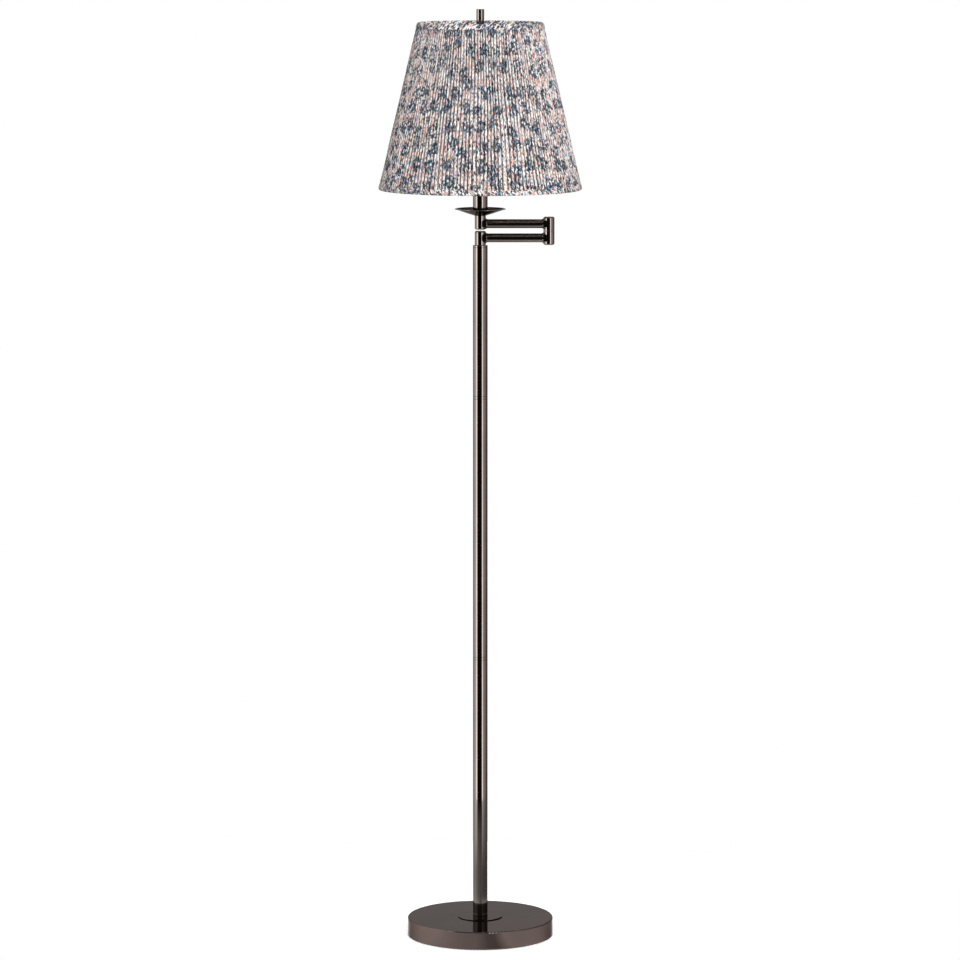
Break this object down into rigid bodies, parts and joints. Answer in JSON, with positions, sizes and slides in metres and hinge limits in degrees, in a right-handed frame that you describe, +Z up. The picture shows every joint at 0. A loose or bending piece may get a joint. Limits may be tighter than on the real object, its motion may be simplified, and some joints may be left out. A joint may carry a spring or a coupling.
{
  "type": "floor lamp",
  "caption": "Bridge floor lamp: weighted round base, jointed pole, double swing arm with two vertical pivots, and a pleated empire shade on a harp.",
  "frame": {"origin": "on the floor, at the centre of the round base", "axes": "+Z up along the pole; the folded arms lie along +X; the switch knob points along -Y, which is the lamp's front; the cord inlet faces +Y"},
  "size_m": [0.3301, 0.3302, 1.5239],
  "materials": {
    "bronze": "polished",
    "iron": "matte",
    "steel": "satin",
    "brass": "satin",
    "felt": "matte",
    "rubber": "matte",
    "nylon": "matte",
    "phenolic": "satin",
    "knob": "gloss",
    "sleeve": "matte",
    "bulb": "satin",
    "print": "matte",
    "trim": "matte",
    "lining": "satin"
  },
  "bodies": {
    "stand": {"base_pad": "felt", "base_weight": "iron", "base_cover": "bronze", "cord_bushing": "rubber", "base_pipe": "steel", "base_washer": "steel", "base_nut": "steel", "foot_plate": "bronze", "foot_ring": "bronze", "lower_joint_ring": "bronze", "upper_joint_ring": "bronze", "lower_pole": "bronze", "middle_pole": "bronze", "upper_pole": "bronze", "pole_inserts": "steel", "joint_nipples": "steel", "pole_cap": "bronze", "pole_pivot": "steel", "pole_pivot_nut": "steel", "pole_slip_washer": "nylon"},
    "lower_arm": {"pole_knuckle": "bronze", "pole_knuckle_plug": "bronze", "lower_arm_tube": "bronze", "elbow_lower_knuckle": "bronze", "elbow_lower_plug": "bronze", "elbow_pivot": "steel", "elbow_nuts": "steel", "elbow_slip_washer": "nylon"},
    "head": {"elbow_upper_knuckle": "bronze", "elbow_upper_plug": "bronze", "upper_arm_tube": "bronze", "head_knuckle": "bronze", "head_knuckle_plug": "bronze", "head_pipe": "steel", "head_nut": "steel", "saucer": "bronze", "neck_tube": "bronze", "neck_washer": "bronze", "harp_saddle": "steel", "harp_bow": "steel", "harp_ferrules": "steel", "harp_stud": "steel", "socket_cap": "steel", "socket_shell": "steel", "socket_sleeve": "sleeve", "socket_core": "phenolic", "socket_screw_shell": "brass", "socket_contact": "brass", "bulb_cap": "steel", "bulb_glass": "bulb", "shade_top_ring": "steel", "shade_bottom_ring": "steel", "shade_spider": "steel", "shade_fabric": "print", "shade_lining": "lining", "shade_trims": "trim", "finial": "bronze"},
    "switch_knob": {"switch_shaft": "brass", "switch_knob": "knob"}
  },
  "joints": [
    {"name": "pole_swing", "type": "hinge", "parent": "stand", "child": "lower_arm", "pos_m": [0, 0, 1.143], "axis": [0, 0, 1], "range_deg": [-170, 170]},
    {"name": "elbow_swing", "type": "hinge", "parent": "lower_arm", "child": "head", "pos_m": [0.1115, 0, 1.1658], "axis": [0, 0, 1], "range_deg": [-170, 170]},
    {"name": "switch_turn", "type": "hinge", "parent": "head", "child": "switch_knob", "pos_m": [0, -0.03, 1.26938], "axis": [0, -1, 0], "continuous": true}
  ]
}
